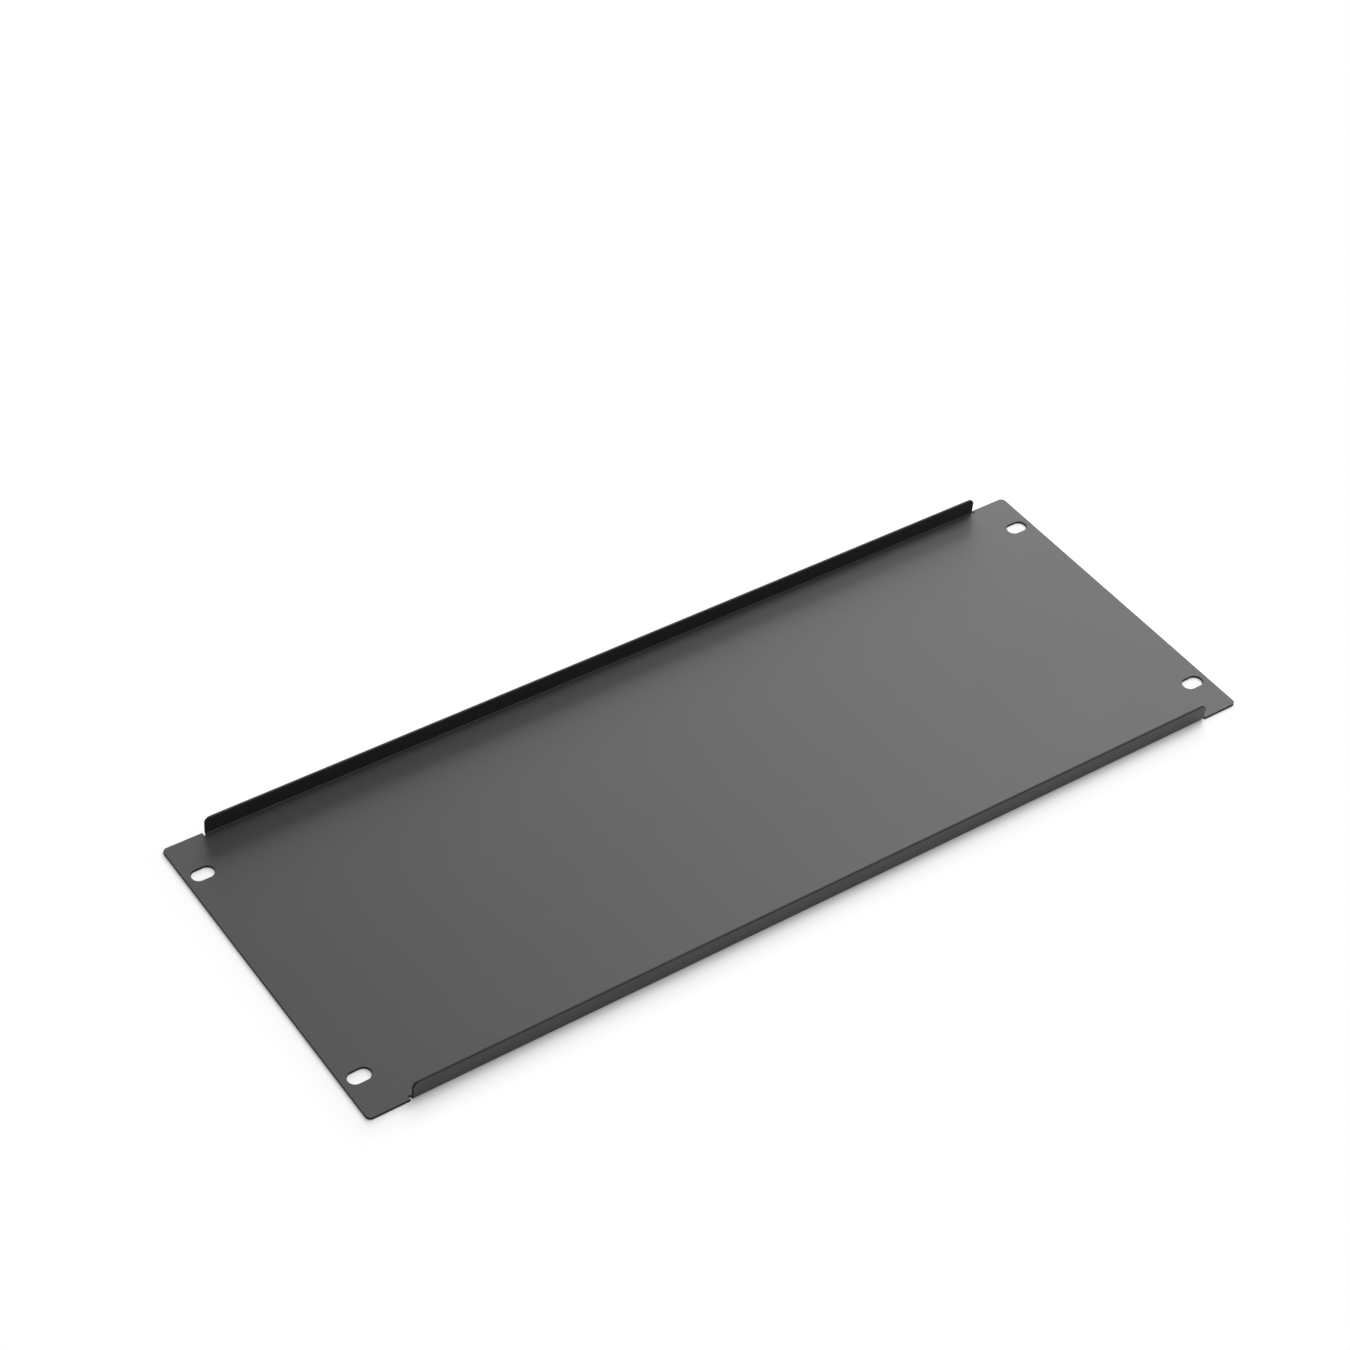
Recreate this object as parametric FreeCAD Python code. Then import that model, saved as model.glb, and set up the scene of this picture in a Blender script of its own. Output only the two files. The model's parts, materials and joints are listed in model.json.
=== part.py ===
import FreeCAD, Part
import math
import os

from FreeCAD import Vector

# Rack blanking panel, four rack units high, for a 19-inch equipment rack.
#
# One sheet of steel: a flat web that fills the opening, two ears that are screwed to the rack
# posts through horizontal slots, and a flange folded square along each long edge to stiffen the
# web. A relief notch at each end of a fold lets the flange bend without tearing the ear.
#
# Millimetres. X runs along the panel's width, Y along its height, and +Z points into the rack.
# The origin is the centre of the front face, on which the panel lies with its flanges upright.

# Rack standard
rack_units = 4
unit_height = 44.45          # one rack unit, 1.75 inch
stacking_clearance = 0.8     # left off the height, so that panels above and below don't rub
panel_width = 482.6          # 19 inch, over the ears

# Sheet and folds
sheet = 1.2                  # thickness with its coat
bend_inside_radius = 0.5
flange_height = 10.0         # front face to the flange's free edge
ear_width = 21.3             # end of the panel to the end of the flange

# Ear slots, one near each corner
slot_length = 11.0           # along the width, end to end
slot_width = 7.0
slot_end_inset = 8.75        # end of the panel to the slot's centre
slot_unit_inset = 22.225     # edge of the outermost rack unit to the slot's centre

# Corners, relief notches and cut edges
ear_corner_radius = 2.5
flange_corner_radius = 3.0
relief_width = 1.0
relief_corner_radius = 0.3   # starts level with the bend, so a notch bottoms this far past it
edge_break = 0.15            # cut edges, deburred before coating

# Worked out
stack_height = rack_units * unit_height
slot_spacing_x = panel_width - 2 * slot_end_inset
slot_spacing_y = stack_height - 2 * slot_unit_inset
half_height = (stack_height - stacking_clearance) / 2
half_width = panel_width / 2
half_flange = half_width - ear_width
bend_outside_radius = bend_inside_radius + sheet
bend_start = half_height - bend_outside_radius

ACROSS = Vector(1, 0, 0)
UP = Vector(0, 0, 1)
SIDES = (-1, 1)


def line(start, end):
    return Part.LineSegment(start, end).toShape()


def arc(centre, radius, first_angle, last_angle, axis=UP):
    """An arc about an axis through its centre; angles in degrees."""
    return Part.makeCircle(radius, centre, axis, first_angle, last_angle)


def plate(outline):
    """A piece of the flat sheet inside a closed outline drawn on the front face."""
    return Part.Face(Part.Wire(outline)).extrude(UP * sheet)


def folded_length():
    """Web and both flanges: the outside line of the section, thickened and drawn along the width."""

    def at(y, z):
        return Vector(-half_flange, y, z)

    outside = Part.Wire([
        line(at(-half_height, flange_height), at(-half_height, bend_outside_radius)),
        arc(at(-bend_start, bend_outside_radius), bend_outside_radius, 180, 270, ACROSS),
        line(at(-bend_start, 0), at(bend_start, 0)),
        arc(at(bend_start, bend_outside_radius), bend_outside_radius, 270, 360, ACROSS),
        line(at(half_height, bend_outside_radius), at(half_height, flange_height)),
    ])
    section = outside.makeOffset2D(-sheet, fill=True, openResult=True)
    return section.extrude(ACROSS * 2 * half_flange)


def ear():
    """The right-hand ear, with its two outer corners rounded."""
    corner_x = half_width - ear_corner_radius
    corner_y = half_height - ear_corner_radius
    return plate([
        line(Vector(half_flange, half_height), Vector(half_flange, -half_height)),
        line(Vector(half_flange, -half_height), Vector(corner_x, -half_height)),
        arc(Vector(corner_x, -corner_y), ear_corner_radius, 270, 360),
        line(Vector(half_width, -corner_y), Vector(half_width, corner_y)),
        arc(Vector(corner_x, corner_y), ear_corner_radius, 0, 90),
        line(Vector(corner_x, half_height), Vector(half_flange, half_height)),
    ])


def relief():
    """What is cut away at the right-hand end of the upper fold, open at the ear's long edge."""
    bottom = bend_start - relief_corner_radius
    far_side = half_flange + relief_width
    left_x = half_flange + relief_corner_radius
    right_x = far_side - relief_corner_radius
    return plate([
        line(Vector(half_flange, half_height), Vector(half_flange, bend_start)),
        arc(Vector(left_x, bend_start), relief_corner_radius, 180, 270),
        line(Vector(left_x, bottom), Vector(right_x, bottom)),
        arc(Vector(right_x, bend_start), relief_corner_radius, 270, 360),
        line(Vector(far_side, bend_start), Vector(far_side, half_height)),
        line(Vector(far_side, half_height), Vector(half_flange, half_height)),
    ])


def slot():
    """The slot near the right-hand end of the upper edge."""
    radius = slot_width / 2
    centre = Vector(slot_spacing_x / 2, slot_spacing_y / 2)
    reach = ACROSS * (slot_length / 2 - radius)
    rise = Vector(0, radius)
    return plate([
        line(centre - reach + rise, centre + reach + rise),
        arc(centre + reach, radius, -90, 90),
        line(centre + reach - rise, centre - reach - rise),
        arc(centre - reach, radius, 90, 270),
    ])


def in_each_quarter(shape):
    """The shape and its mirror images, one in each quarter of the panel."""
    pair = [shape, shape.mirror(Vector(), ACROSS)]
    return pair + [half.mirror(Vector(), Vector(0, 1, 0)) for half in pair]


def flange_corners(shape):
    """The four short edges across the sheet where a flange's end meets its free edge."""
    middles = [
        Vector(x * half_flange, y * (half_height - sheet / 2), flange_height)
        for x in SIDES
        for y in SIDES
    ]
    return [
        edge
        for edge in shape.Edges
        if any(edge.CenterOfMass.isEqual(middle, 1e-4) for middle in middles)
    ]


def sharp_edges(shape):
    """Edges where two faces meet at an angle, which leaves out the tangent joins along a bend."""
    found = []
    for edge in shape.Edges:
        middle = edge.valueAt((edge.FirstParameter + edge.LastParameter) / 2)
        first, second = [
            face.normalAt(*face.Surface.parameter(middle))
            for face in shape.ancestorsOfType(edge, Part.Face)
        ]
        if math.degrees(first.getAngle(second)) > 45:
            found.append(edge)
    return found


def blanking_panel():
    right_ear = ear()
    left_ear = right_ear.mirror(Vector(), ACROSS)
    panel = folded_length().fuse([right_ear, left_ear]).removeSplitter()
    panel = panel.cut(in_each_quarter(relief()) + in_each_quarter(slot()))
    panel = panel.makeFillet(flange_corner_radius, flange_corners(panel))
    return panel.makeChamfer(edge_break, sharp_edges(panel)).Solids[0]


os.makedirs("parts", exist_ok=True)
blanking_panel().exportStep("parts/blanking_panel.step")
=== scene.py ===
import json
from math import cos, pi, radians, sin

import bpy
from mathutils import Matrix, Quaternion, Vector


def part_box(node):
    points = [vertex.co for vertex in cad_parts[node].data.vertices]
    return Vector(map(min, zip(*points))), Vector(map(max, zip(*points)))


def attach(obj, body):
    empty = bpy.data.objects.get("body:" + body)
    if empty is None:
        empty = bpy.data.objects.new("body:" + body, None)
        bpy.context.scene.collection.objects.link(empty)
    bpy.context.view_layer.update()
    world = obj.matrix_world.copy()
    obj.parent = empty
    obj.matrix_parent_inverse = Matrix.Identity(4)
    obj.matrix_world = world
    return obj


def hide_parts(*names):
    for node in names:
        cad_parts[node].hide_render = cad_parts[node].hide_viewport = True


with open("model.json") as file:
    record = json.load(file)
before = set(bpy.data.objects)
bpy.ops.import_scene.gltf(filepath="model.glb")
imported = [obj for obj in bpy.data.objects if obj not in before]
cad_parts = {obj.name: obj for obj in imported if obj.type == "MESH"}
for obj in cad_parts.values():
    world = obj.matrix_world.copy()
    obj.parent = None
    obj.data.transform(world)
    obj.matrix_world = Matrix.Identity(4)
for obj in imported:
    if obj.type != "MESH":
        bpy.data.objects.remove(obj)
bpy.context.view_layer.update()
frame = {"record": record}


# ---------------------------------------------------------------------------- the folded sheet
# One sheet of mild steel, punched flat with its four slots, corners and relief notches and then
# folded on a press brake along both long edges. Nothing is fixed to it. A quarter is modelled as
# the outer skin, mirrored twice, and given the sheet's thickness on the inside of the fold.

low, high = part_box("blanking_panel")
half_width = high.x
half_height = high.y
flange_height = high.z

# Metres throughout.
sheet = 0.0012
bend_inside_radius = 0.0005
ear_width = 0.0213
ear_corner_radius = 0.0025
flange_corner_radius = 0.003
relief_width = 0.001
relief_past_bend = 0.0003
edge_break = 0.00025
arc_steps = 10
edge_steps = 3

slots = next(m for m in frame["record"]["mounts"] if m["name"] == "rack_slots")["dims"]
slot_x = slots["spacing_x_mm"] / 2000
slot_y = slots["spacing_y_mm"] / 2000
slot_half_length = slots["slot_length_mm"] / 2000
slot_radius = slots["hole_r_mm"] / 1000

half_flange = half_width - ear_width
bend_outside_radius = bend_inside_radius + sheet
relief_bottom = half_height - bend_outside_radius - relief_past_bend
relief_edge = half_flange + relief_width

# Points closer than this count as one place.
NEAR = 1e-6


def is_at(point, x=None, y=None, z=None):
    """True where a point has each coordinate that is given."""
    wanted = ((point.x, x), (point.y, y), (point.z, z))
    return all(value is None or abs(there - value) < NEAR for there, value in wanted)


def pick(mode, wanted):
    """In edit mode, select only the vertices, edges or faces whose points are all wanted."""
    bpy.ops.mesh.select_mode(type=mode)
    bpy.ops.mesh.select_all(action="DESELECT")
    bpy.ops.object.mode_set(mode="OBJECT")
    mesh = bpy.context.object.data
    parts = {"VERT": mesh.vertices, "EDGE": mesh.edges, "FACE": mesh.polygons}[mode]
    for part in parts:
        points = [part.co] if mode == "VERT" else [mesh.vertices[i].co for i in part.vertices]
        part.select = all(wanted(point) for point in points)
    bpy.ops.object.mode_set(mode="EDIT")


def cut_line(point, normal):
    """Draw an edge right across the flat sheet."""
    bpy.ops.mesh.select_all(action="SELECT")
    bpy.ops.mesh.bisect(plane_co=point, plane_no=normal)


def round_corners(radius, *corners):
    """Round the outline at each corner, given as x and y or as x, y and z."""
    pick("VERT", lambda point: any(is_at(point, *corner) for corner in corners))
    bpy.ops.mesh.bevel(offset=radius, segments=arc_steps, affect="VERTICES")


def apply_modifier(kind, **settings):
    """Put a modifier with these settings on the object in hand, and apply it."""
    piece = bpy.context.object
    modifier = piece.modifiers.new(kind, kind)
    for name, value in settings.items():
        setattr(modifier, name, value)
    bpy.ops.object.modifier_apply(modifier=modifier.name)


# A quarter of the flat blank.
bpy.ops.object.select_all(action="DESELECT")
bpy.ops.mesh.primitive_plane_add(size=1, enter_editmode=True)
bpy.ops.transform.translate(value=(0.5, 0.5, 0))
bpy.ops.transform.resize(value=(half_width, half_height, 1), center_override=(0, 0, 0))

# The ear's corner, and the relief notch beside the fold.
round_corners(ear_corner_radius, (half_width, half_height))
cut_line((half_flange, 0, 0), (1, 0, 0))
cut_line((relief_edge, 0, 0), (1, 0, 0))
cut_line((0, relief_bottom, 0), (0, 1, 0))
pick("FACE", lambda p: half_flange - NEAR < p.x < relief_edge + NEAR and p.y > relief_bottom - NEAR)
bpy.ops.mesh.delete(type="FACE")
bpy.ops.mesh.select_all(action="SELECT")
bpy.ops.mesh.dissolve_limited(angle_limit=radians(1))

# The flange is drawn up from the blank's long edge, and the fold gets its outside radius.
pick("EDGE", lambda p: is_at(p, y=half_height) and p.x < half_flange + NEAR)
bpy.ops.mesh.extrude_region_move(TRANSFORM_OT_translate={"value": (0, 0, flange_height)})
round_corners(flange_corner_radius, (half_flange, half_height, flange_height))
pick("EDGE", lambda p: is_at(p, y=half_height, z=0) and p.x < half_flange + NEAR)
bpy.ops.mesh.bevel(offset=bend_outside_radius, segments=arc_steps, affect="EDGES")
bpy.ops.object.mode_set(mode="OBJECT")

# Mirrored into the whole skin, and thickened on the inside of the fold. The cut edges take the
# second material, here and in the slots.
coat = bpy.data.materials.new("powder_coat")
edge_coat = bpy.data.materials.new("powder_coat_on_cut_edges")
bpy.context.object.data.materials.append(coat)
bpy.context.object.data.materials.append(edge_coat)
apply_modifier("MIRROR", use_axis=(True, True, False), merge_threshold=NEAR)
bpy.ops.object.mode_set(mode="EDIT")
bpy.ops.mesh.select_all(action="SELECT")
bpy.ops.mesh.normals_make_consistent(inside=False)
bpy.ops.object.mode_set(mode="OBJECT")
apply_modifier("SOLIDIFY", thickness=sheet, offset=-1, use_even_offset=True, material_offset_rim=1)
panel = bpy.context.object

# The slots are punched through by one tool, mirrored to the four corners.
bpy.ops.object.select_all(action="DESELECT")
bpy.ops.mesh.primitive_plane_add(size=1, enter_editmode=True)
bpy.ops.transform.resize(value=(2 * slot_half_length, 2 * slot_radius, 1))
bpy.ops.transform.translate(value=(slot_x, slot_y, -sheet))
left, right = slot_x - slot_half_length, slot_x + slot_half_length
bottom, top = slot_y - slot_radius, slot_y + slot_radius
round_corners(slot_radius, (left, bottom), (left, top), (right, bottom), (right, top))
bpy.ops.mesh.select_all(action="SELECT")
bpy.ops.mesh.remove_doubles(threshold=NEAR)
bpy.ops.mesh.extrude_region_move(TRANSFORM_OT_translate={"value": (0, 0, 3 * sheet)})
bpy.ops.mesh.select_all(action="SELECT")
bpy.ops.mesh.normals_make_consistent(inside=False)
bpy.ops.object.mode_set(mode="OBJECT")
apply_modifier("MIRROR", use_axis=(True, True, False))
punch = bpy.context.object
punch.data.materials.append(edge_coat)
bpy.context.view_layer.objects.active = panel
apply_modifier("BOOLEAN", object=punch, operation="DIFFERENCE", solver="EXACT",
               material_mode="TRANSFER")
bpy.data.objects.remove(punch)

# The cut edges are deburred.
apply_modifier("BEVEL", width=edge_break, segments=edge_steps, limit_method="ANGLE",
               angle_limit=radians(45), use_clamp_overlap=False, material=1)

# Broad faces stay flat and the folds and edges shade round.
bpy.ops.object.select_all(action="DESELECT")
panel.select_set(True)
bpy.ops.object.shade_smooth()
apply_modifier("WEIGHTED_NORMAL", mode="FACE_AREA", weight=100)


# The coat: near-black polyester powder, baked on. Powder levels into faint waves a few
# millimetres across, with a finer grain on them, and its gloss is a little uneven.
wave_size = 0.003
wave_depth = 0.00002
grain_size = 0.0008
grain_depth = 0.00001
patch_size = 0.05
coat_dark = (0.0275, 0.0243, 0.0275, 1)
coat_light = (0.0345, 0.0305, 0.0345, 1)
coat_roughness = (0.42, 0.47)
coat_gloss = 0.42
edge_roughness = 0.7
edge_gloss = 0.15

coat.use_nodes = True
tree = coat.node_tree
shader = tree.nodes["Principled BSDF"]
place = tree.nodes.new("ShaderNodeTexCoord")


def speckle(size, detail):
    """Noise whose grains are about this many metres across."""
    noise = tree.nodes.new("ShaderNodeTexNoise")
    noise.inputs["Scale"].default_value = 1 / size
    noise.inputs["Detail"].default_value = detail
    tree.links.new(place.outputs["Object"], noise.inputs["Vector"])
    return noise.outputs["Fac"]


def raised(height, depth):
    """A bump that lifts the surface by up to this depth where the noise is high."""
    bump = tree.nodes.new("ShaderNodeBump")
    bump.inputs["Distance"].default_value = depth
    tree.links.new(height, bump.inputs["Height"])
    return bump


grain = speckle(grain_size, detail=2)
grain_bump = raised(grain, grain_depth)
wave_bump = raised(speckle(wave_size, detail=1), wave_depth)
tree.links.new(wave_bump.outputs["Normal"], grain_bump.inputs["Normal"])
tree.links.new(grain_bump.outputs["Normal"], shader.inputs["Normal"])

colour = tree.nodes.new("ShaderNodeValToRGB")
colour.color_ramp.elements[0].color = coat_dark
colour.color_ramp.elements[1].color = coat_light
tree.links.new(grain, colour.inputs["Fac"])
tree.links.new(colour.outputs["Color"], shader.inputs["Base Color"])

gloss = tree.nodes.new("ShaderNodeMapRange")
gloss.inputs["To Min"].default_value = coat_roughness[0]
gloss.inputs["To Max"].default_value = coat_roughness[1]
tree.links.new(speckle(patch_size, detail=3), gloss.inputs["Value"])
tree.links.new(gloss.outputs["Result"], shader.inputs["Roughness"])
shader.inputs["Specular IOR Level"].default_value = coat_gloss

# The punch leaves the cut edges rough, so the coat on them is duller.
edge_coat.use_nodes = True
edge_shader = edge_coat.node_tree.nodes["Principled BSDF"]
edge_shader.inputs["Base Color"].default_value = coat_dark
edge_shader.inputs["Roughness"].default_value = edge_roughness
edge_shader.inputs["Specular IOR Level"].default_value = edge_gloss

panel.name = "folded_sheet"
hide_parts("blanking_panel")
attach(panel, "root")


# --------------------------------------------------------------------------------- the floor
# A seamless white sweep. It takes a soft shadow beside the panel, and fades to plain white
# beyond, for the eye and for reflections alike.

floor_size = 12
floor_colour = (0.95, 0.95, 0.95, 1)
white_from = 0.016
white_at_panel = 0.2
floor_gap = 0.00002

bpy.ops.object.select_all(action="DESELECT")
bpy.ops.mesh.primitive_plane_add(size=floor_size, location=(0, 0, low.z - floor_gap))
bpy.ops.object.transform_apply(location=True)
floor = bpy.context.object
floor.name = "studio_floor"

paper = bpy.data.materials.new("white_sweep")
paper.use_nodes = True
tree = paper.node_tree
shader = tree.nodes["Principled BSDF"]
shader.inputs["Base Color"].default_value = floor_colour
shader.inputs["Roughness"].default_value = 1
shader.inputs["Specular IOR Level"].default_value = 0


def seen(tree):
    """1 for rays that show something to the eye, straight or reflected, and 0 for the rest."""
    path = tree.nodes.new("ShaderNodeLightPath")
    total = path.outputs["Is Camera Ray"]
    for kind in ("Is Glossy Ray", "Is Transmission Ray"):
        more = tree.nodes.new("ShaderNodeMath")
        more.operation = "ADD"
        more.use_clamp = True
        tree.links.new(total, more.inputs[0])
        tree.links.new(path.outputs[kind], more.inputs[1])
        total = more.outputs["Value"]
    return total


# How far each place on the floor lies from the panel's outline, and the fade over that distance.
place = tree.nodes.new("ShaderNodeTexCoord")
beyond = place.outputs["Object"]
for operation, value in (("ABSOLUTE", (0, 0, 0)), ("ADD", low), ("MAXIMUM", (0, 0, 0))):
    step = tree.nodes.new("ShaderNodeVectorMath")
    step.operation = operation
    step.inputs[1].default_value = value
    tree.links.new(beyond, step.inputs[0])
    beyond = step.outputs["Vector"]
distance = tree.nodes.new("ShaderNodeVectorMath")
distance.operation = "LENGTH"
tree.links.new(beyond, distance.inputs[0])
fade = tree.nodes.new("ShaderNodeMapRange")
fade.interpolation_type = "SMOOTHSTEP"
fade.inputs["From Max"].default_value = white_from
fade.inputs["To Min"].default_value = white_at_panel
tree.links.new(distance.outputs["Value"], fade.inputs["Value"])
share = tree.nodes.new("ShaderNodeMath")
share.operation = "MULTIPLY"
tree.links.new(fade.outputs["Result"], share.inputs[0])
tree.links.new(seen(tree), share.inputs[1])
white = tree.nodes.new("ShaderNodeEmission")
mix = tree.nodes.new("ShaderNodeMixShader")
tree.links.new(share.outputs["Value"], mix.inputs["Fac"])
tree.links.new(shader.outputs["BSDF"], mix.inputs[1])
tree.links.new(white.outputs["Emission"], mix.inputs[2])
tree.links.new(mix.outputs["Shader"], tree.nodes["Material Output"].inputs["Surface"])
floor.data.materials.append(paper)


# ------------------------------------------------------------------------------ the lighting
# A tall softbox stands behind the panel to its right, a lit backdrop stands behind it, and a
# scrim hangs overhead. The room's walls are white to the eye up to wall_top, and the room adds
# only a little light.

room_light = 0.25
wall_top = (radians(20), radians(28))


def softbox(name, azimuth, height, distance, width, length, radiance):
    """An even rectangle of light that faces the panel. Azimuth runs from +Y towards +X."""
    data = bpy.data.lights.new(name, "AREA")
    data.shape = "RECTANGLE"
    data.size = width
    data.size_y = length
    data.energy = radiance * pi * width * length
    lamp = bpy.data.objects.new(name, data)
    azimuth, height = radians(azimuth), radians(height)
    away = Vector((sin(azimuth) * cos(height), cos(azimuth) * cos(height), sin(height)))
    lamp.location = away * distance
    lamp.rotation_euler = away.to_track_quat("Z", "Y").to_euler()
    bpy.context.scene.collection.objects.link(lamp)


softbox("key_softbox", azimuth=67.5, height=45, distance=1.91, width=0.935, length=1.34,
        radiance=4.97)
softbox("backdrop", azimuth=27, height=16, distance=2, width=1.51, length=0.95,
        radiance=8.42)
softbox("overhead_scrim", azimuth=77, height=80, distance=1.8, width=1.085, length=1.145,
        radiance=3.04)

world = bpy.data.worlds.new("white_room")
world.use_nodes = True
bpy.context.scene.world = world
tree = world.node_tree
direction = tree.nodes.new("ShaderNodeTexCoord")
axes = tree.nodes.new("ShaderNodeSeparateXYZ")
tree.links.new(direction.outputs["Generated"], axes.inputs["Vector"])
wall = tree.nodes.new("ShaderNodeMapRange")
wall.inputs["From Min"].default_value = sin(wall_top[1])
wall.inputs["From Max"].default_value = sin(wall_top[0])
tree.links.new(axes.outputs["Z"], wall.inputs["Value"])
share = tree.nodes.new("ShaderNodeMath")
share.operation = "MULTIPLY"
tree.links.new(wall.outputs["Result"], share.inputs[0])
tree.links.new(seen(tree), share.inputs[1])
strength = tree.nodes.new("ShaderNodeMapRange")
strength.inputs["To Min"].default_value = room_light
strength.inputs["To Max"].default_value = 1
tree.links.new(share.outputs["Value"], strength.inputs["Value"])
tree.nodes["Background"].inputs["Color"].default_value = (1, 1, 1, 1)
tree.links.new(strength.outputs["Result"], tree.nodes["Background"].inputs["Strength"])


# -------------------------------------------------------------------------------- the camera
# A tripod view from the front left, looking down on the back of the panel.

camera_lens = 81.116
camera_azimuth = -38.875
camera_height = 42.82
camera_roll = 5.669
camera_distance = 1.4474
aim = Vector((0.0201, 0.0663, 0))

azimuth, height = radians(camera_azimuth), radians(camera_height)
back = Vector((sin(azimuth) * cos(height), -cos(azimuth) * cos(height), sin(height)))
data = bpy.data.cameras.new("camera")
data.lens = camera_lens
camera = bpy.data.objects.new("camera", data)
camera.location = aim + back * camera_distance
upright = (-back).to_track_quat("-Z", "Y")
camera.rotation_euler = (upright @ Quaternion((0, 0, 1), radians(camera_roll))).to_euler()
bpy.context.scene.collection.objects.link(camera)
bpy.context.scene.camera = camera
bpy.context.scene.view_settings.view_transform = "Standard"
